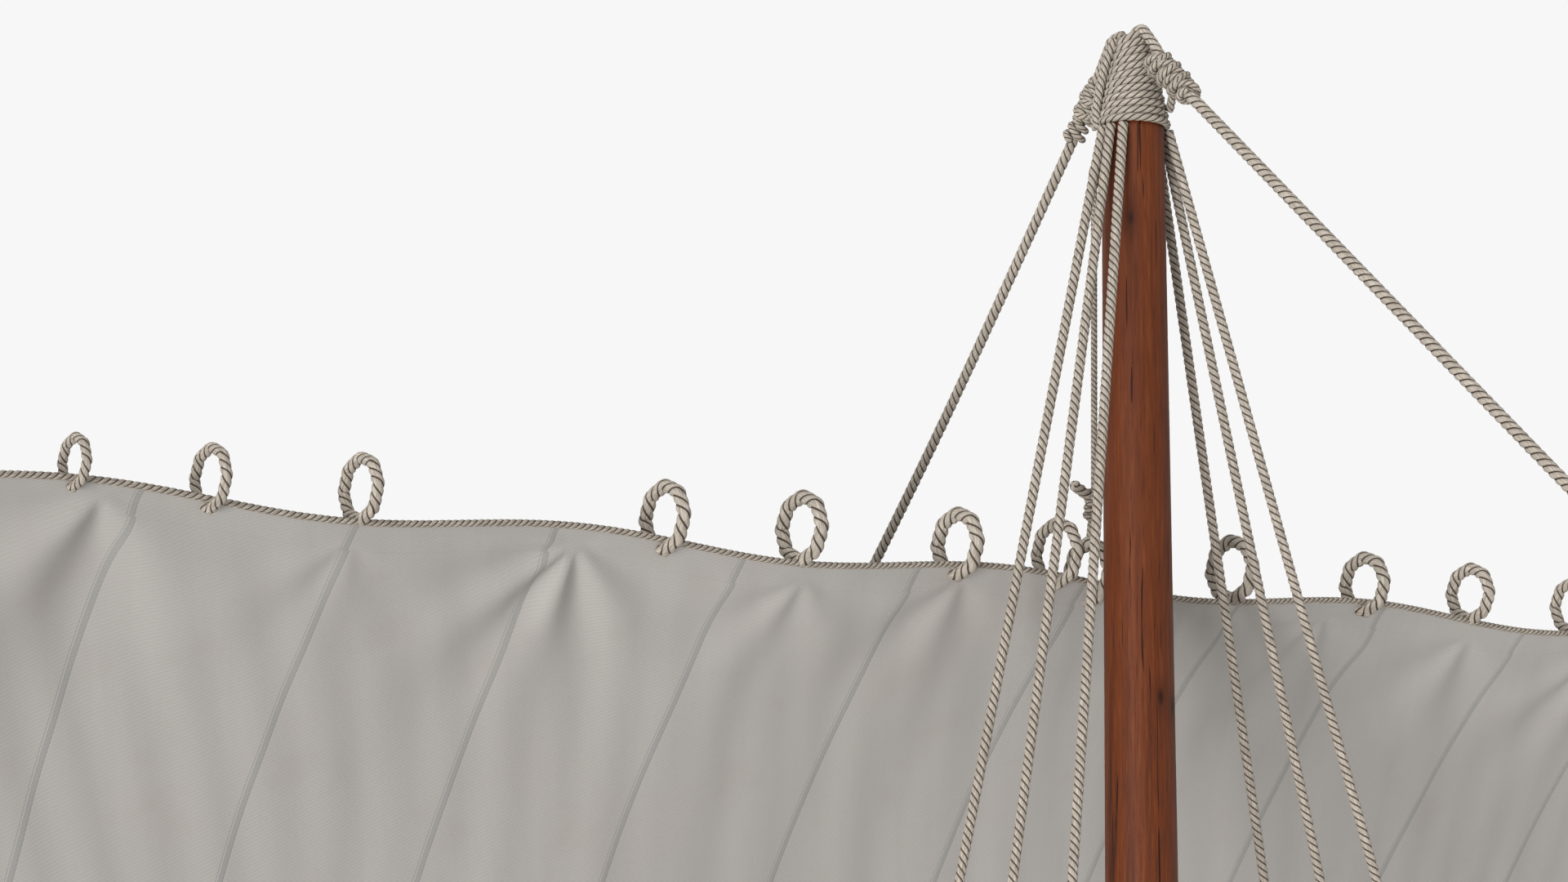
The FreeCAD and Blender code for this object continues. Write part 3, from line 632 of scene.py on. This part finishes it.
def make_loop(node, body, turned=0.0):
    """A head loop in the place of its CAD ring."""
    centre, radius, rope = ring_of(node)
    if body != "hitch" and centre.z - radius - rope / 2 > head_height(centre.x):
        centre.z -= SIT_DEEPER
        radius += SIT_WIDER
    make_rope(node, [polygon_ring(centre, radius, turned)], rope * LOOP_FULLNESS, body, [node], closed=True, steps=18)


for side, sign in SIDES:
    for number in range(1, 9):
        if f"{side}_head_loop_{number}" in frame["nodes"]:
            make_loop(f"{side}_head_loop_{number}", f"{side}_loop_{number}", LOOP_LEAN * math.sin(5 * number + sign))
make_loop("middle_head_loop", "hitch")

# ---- halyard ----
HALYARD_ROPE, STROP_ROPE, TAIL_ROPE = 0.016, 0.014, 0.030
TAIL_SHARE = 0.92               # size of the tail as shown over its nominal size
ARCH, ARCH_TOP, ARCH_FOOT = 0.023, 0.003, -0.0205       # the rope's arch through its bull's-eye
FALL_X, FALL_END_Y = 0.033, 0.13787
low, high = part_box("halyard_bulls_eye")
lead = (low + high) / 2
fall_end = Vector((FALL_X, FALL_END_Y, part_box("halyard_fall")[0].z))
fall = route([*(lead + Vector((x, 0, z)) for x, z in ((-ARCH, ARCH_FOOT), (-ARCH, ARCH_TOP), (ARCH, ARCH_TOP),
                                                      (ARCH, ARCH_FOOT), (ARCH, -0.17))),
              Vector((FALL_X, lead.y - 0.022, 5.1655)), Vector((FALL_X, lead.y - 0.0205, 5.07)),
              fall_end + Vector((0, -0.001, 0.1)), fall_end])
fall_piece = make_rope("halyard_fall", [fall], HALYARD_ROPE, "rig", ["halyard_fall"], steps=12)
knot_low, knot_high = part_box("halyard_knot")
knot_foot, knot_top = Vector((0, 0.167, knot_low.z + 0.004)), Vector((0, 0.147, knot_high.z - 0.004))
lift = straight(lead + Vector((-ARCH, 0, ARCH_FOOT - 0.001)), knot_top, HALYARD_ROPE)
halyard = make_rope("halyard", [lift], HALYARD_ROPE, None, ["halyard"], steps=12)
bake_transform(halyard)
make_rope("halyard_knot", [wraps(knot_foot.lerp(knot_top, 0.35), knot_top, [0.013, 0.013], 4, 0.003, 1.0, -1),
                           straight(knot_foot + Vector((0, 0, -0.012)), knot_top, HALYARD_ROPE)],
          HALYARD_ROPE, "hitch", ["halyard_knot"])
make_rope("loop_rope_tail", [route([(-0.012, 0.152, 4.866), (-0.034, 0.150, 4.876), (-0.066, 0.146, 4.888)])],
          TAIL_ROPE * TAIL_SHARE, "hitch", ["loop_rope_tail"])
low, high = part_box("halyard_strop")
strop_radius = (high.y - low.y - STROP_ROPE) / 2
make_rope("halyard_strop", [circle(lead, strop_radius, (1, 0, 0))], STROP_ROPE, "rig", ["halyard_strop"],
          closed=True)
make_rope("halyard_strop_link", [route([
    lead + Vector((0, 0, strop_radius)), lead + Vector((0, -0.012, strop_radius + 0.025)),
    Vector((0, MAST_TOP_RADIUS + 0.008, high.z - 0.004))])], STROP_ROPE, "rig")
low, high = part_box("halyard_belay")
inset = Vector((1, 1, 1)) * HALYARD_ROPE / 2
low, high = low + inset, high - inset
make_rope("halyard_belay", [
    rounded_ring([(low.x, low.y, z), (high.x, low.y, z), (high.x, high.y, z), (low.x, high.y, z)], 0.12)
    for z in (low.z, high.z)], HALYARD_ROPE, "rig", ["halyard_belay"], closed=True)


# ---- sail ----
def sail_point(u, s):
    """Point of the cloth: u from -1 at the port leech to 1, s the length down from the head."""
    lean = HEAD_ANGLE - s / BELLY_RADIUS
    foot = HEAD_ANGLE - LEECH / BELLY_RADIUS
    forward = BELLY_RADIUS * (np.cos(lean) - math.cos(HEAD_ANGLE))
    down = BELLY_RADIUS * (np.sin(lean) - math.sin(HEAD_ANGLE))
    foot_forward = BELLY_RADIUS * (math.cos(foot) - math.cos(HEAD_ANGLE))
    foot_down = BELLY_RADIUS * (math.sin(foot) - math.sin(HEAD_ANGLE))
    share = (forward * foot_forward + down * foot_down) / (foot_forward ** 2 + foot_down ** 2)
    length = LEECH - FOOT_ARCH * (1 - u * u)
    x = HALF_WIDTH * u
    wave = (head_height(x) - HEAD_Z) * (1 - s / length) ** 2
    return np.stack([x * (1 - NARROWING * share), HEAD_Y + forward, HEAD_Z + down + wave], axis=-1)


# Folds that fan out from a point under the head: its place across and down, folds in a full turn, the angle of a
# crest (from straight down, towards starboard), how far down they are deepest, and their depth.
FANS = ((-1.485, 0.045, 7.5, -22, 0.17, 0.0115), (-2.640, 0.040, 4.0, -76, 0.20, 0.020),
        (-2.050, 0.050, 6.0, -20, 0.16, 0.004), (-0.860, 0.040, 6.0, 12, 0.16, 0.006),
        (-0.400, 0.040, 5.0, -34, 0.20, 0.008), (0.300, 0.030, 6.0, 25, 0.15, 0.005),
        (0.780, 0.040, 7.0, -10, 0.18, 0.008), (1.300, 0.040, 5.0, 30, 0.20, 0.009),
        (1.840, 0.045, 7.0, -24, 0.18, 0.010), (2.640, 0.040, 5.0, 18, 0.20, 0.014))
SWELL, CROSS_SWELL = 0.010, 0.005       # depths of the slack cloth's broad waves
CREASE, FINE_CREASE = 0.0022, 0.0012    # and of the creases that hang plumb in it
CLOTH_GRID = (501, 220)         # points across and down
CLOTH_CROWDING = 1.35           # the rows of points stand closer near the head
HEAD_ROPE_SHORT = 0.010         # by which head and foot ropes end short of the leech ropes' centre lines
CLOTH_INSET = 0.003             # share of the half width by which the cloth stops short of the leech
CALM_EDGE = 0.12                # all of it dies out over this distance from leech and foot
CALM_HEAD, CALM_FAN = 0.12, 0.03        # waves and folds begin over these distances from the head


def billow(x, s):
    """How far the cloth stands off its smooth shape: folds that fan out from the head, and slack between."""
    off = SWELL * np.sin(1.9 * x + 0.7) * np.sin(1.5 * s + 0.4) + CROSS_SWELL * np.sin(4.3 * x - 2.2 * s)
    hang = x - PLUMB * s
    ease = 0.5 + 0.5 * np.sin(1.3 * x + 2.3 * s)
    off = off + CREASE * ease * np.sin(23 * hang + 2.1 * np.sin(1.7 * s + x))
    off = off + FINE_CREASE * (1.4 - ease) * np.sin(41 * hang + 1.5 * np.sin(3.1 * s + 2 * x))
    off = off * (1 - np.exp(-s / CALM_HEAD))
    for place, drop, folds, crest, reach, depth in FANS:
        across, down = x - place, s - drop
        distance = np.sqrt(across ** 2 + down ** 2) / reach
        angle = np.arctan2(across, down)
        fade = distance ** 1.5 * np.exp(1.5 * (1 - distance)) * (1 - np.exp(-s / CALM_FAN))
        off = off + depth * fade * np.cos(folds * (angle - math.radians(crest))) * (0.5 + 0.5 * np.cos(angle))
    edges = np.minimum(HALF_WIDTH - np.abs(x), LEECH - FOOT_ARCH - s) / CALM_EDGE
    return off * np.clip(edges, 0, 1)


def make_cloth():
    """The sail's canvas, with its coordinates in metres across and down."""
    columns, rows = CLOTH_GRID
    u = np.linspace(-1, 1, columns)[:, None] * (1 - CLOTH_INSET)
    share = (np.linspace(0, 1, rows) ** CLOTH_CROWDING)[None, :]
    s = share * (LEECH - FOOT_ARCH * (1 - u * u))
    u = np.repeat(u, rows, axis=1)
    place = sail_point(u, s)
    du, ds = np.gradient(place, axis=0), np.gradient(place, axis=1)
    normal = unit(np.cross(du, ds))
    place = place + normal * billow(HALF_WIDTH * u, s)[..., None]
    index = np.arange(columns * rows).reshape(columns, rows)
    faces = np.stack([index[:-1, :-1], index[:-1, 1:], index[1:, 1:], index[1:, :-1]], axis=-1).reshape(-1, 4)
    mesh = bpy.data.meshes.new("sail_cloth")
    mesh.from_pydata(place.reshape(-1, 3).tolist(), [], faces.tolist())
    layer = mesh.uv_layers.new(name="cloth")
    flat = np.stack([HALF_WIDTH * u, s], axis=-1).reshape(-1, 2)
    layer.data.foreach_set("uv", flat[faces.ravel()].astype(np.float32).ravel())
    cloth = finish_piece("sail_canvas", mesh, CANVAS, "sail", ["sail_cloth"])
    solid = cloth.modifiers.new("thickness", "SOLIDIFY")
    solid.thickness, solid.offset = CLOTH_THICKNESS, 0


make_cloth()
inner = 1 - HEAD_ROPE_SHORT / HALF_WIDTH
along_head = np.linspace(-inner, inner, 400)
make_rope("head_rope", [sail_point(along_head, 0 * along_head)], BOLT_ROPE, "sail", ["head_rope"], lay=LONG_LAY)
foot_line = sail_point(along_head, LEECH - FOOT_ARCH * (1 - along_head ** 2))
make_rope("foot_rope", [foot_line], BOLT_ROPE, "sail", ["foot_rope"], steps=10)
down_leech = np.linspace(0, LEECH, 200)
for side, sign in SIDES:
    make_rope(f"{side}_leech_rope", [sail_point(sign + 0 * down_leech, down_leech)], BOLT_ROPE, "sail",
              [f"{side}_leech_rope"], steps=10)
    for corner in ("head", "clew"):
        node = f"{side}_{corner}_cringle"
        low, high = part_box(node)
        rope = high.y - low.y
        make_rope(node, [circle((low + high) / 2, (high.z - low.z - rope) / 2, (0, 1, 0))], rope, "sail",
                  [node], closed=True)

# ---- stage and light ----
FLOOR_REACH, FLOOR_DROP = 30, 0.004
floor_mesh = bpy.data.meshes.new("floor")
floor_mesh.from_pydata([(x * FLOOR_REACH, y * FLOOR_REACH, -FLOOR_DROP)
                        for x, y in ((-1, -1), (1, -1), (1, 1), (-1, 1))], [], [(0, 1, 2, 3)])
floor = bpy.data.objects.new("floor", floor_mesh)
bpy.context.scene.collection.objects.link(floor)
paper = Nodes("pale_floor")
paper.shader.inputs["Base Color"].default_value = (0.80, 0.80, 0.79, 1)
paper.shader.inputs["Roughness"].default_value = 0.9
floor_mesh.materials.append(paper.material)
floor.visible_shadow = False        # the low light shines up from below it, and has to pass

BACKDROP, STUDIO_LIGHT = 0.93, 0.50     # what the camera sees behind the rig, and the light from all round
world = bpy.data.worlds.new("studio")
bpy.context.scene.world = world
world.use_nodes = True
sky = world.node_tree
seen = sky.nodes["Background"]
seen.inputs["Color"].default_value = (BACKDROP, BACKDROP, BACKDROP, 1)
lit = sky.nodes.new("ShaderNodeBackground")
lit.inputs["Color"].default_value = (1.0, 1.0, 1.0, 1)
lit.inputs["Strength"].default_value = STUDIO_LIGHT
choice, path = sky.nodes.new("ShaderNodeMixShader"), sky.nodes.new("ShaderNodeLightPath")
sky.links.new(path.outputs["Is Camera Ray"], choice.inputs[0])
sky.links.new(lit.outputs[0], choice.inputs[1])
sky.links.new(seen.outputs[0], choice.inputs[2])
sky.links.new(choice.outputs[0], sky.nodes["World Output"].inputs[0])
bpy.context.scene.view_settings.view_transform = "Standard"


def sun(name, direction, energy, softness):
    """A light that travels in this direction, as if from a disc this many degrees across."""
    light = bpy.data.objects.new(name, bpy.data.lights.new(name, "SUN"))
    light.data.energy = energy
    light.data.angle = math.radians(softness)
    light.rotation_euler = Vector(direction).to_track_quat("-Z", "Y").to_euler()
    bpy.context.scene.collection.objects.link(light)


sun("low_side", (0.870, 0.370, 0.326), 2.2, 24)
sun("top", (0.75, 0.55, -0.70), 0.9, 25)
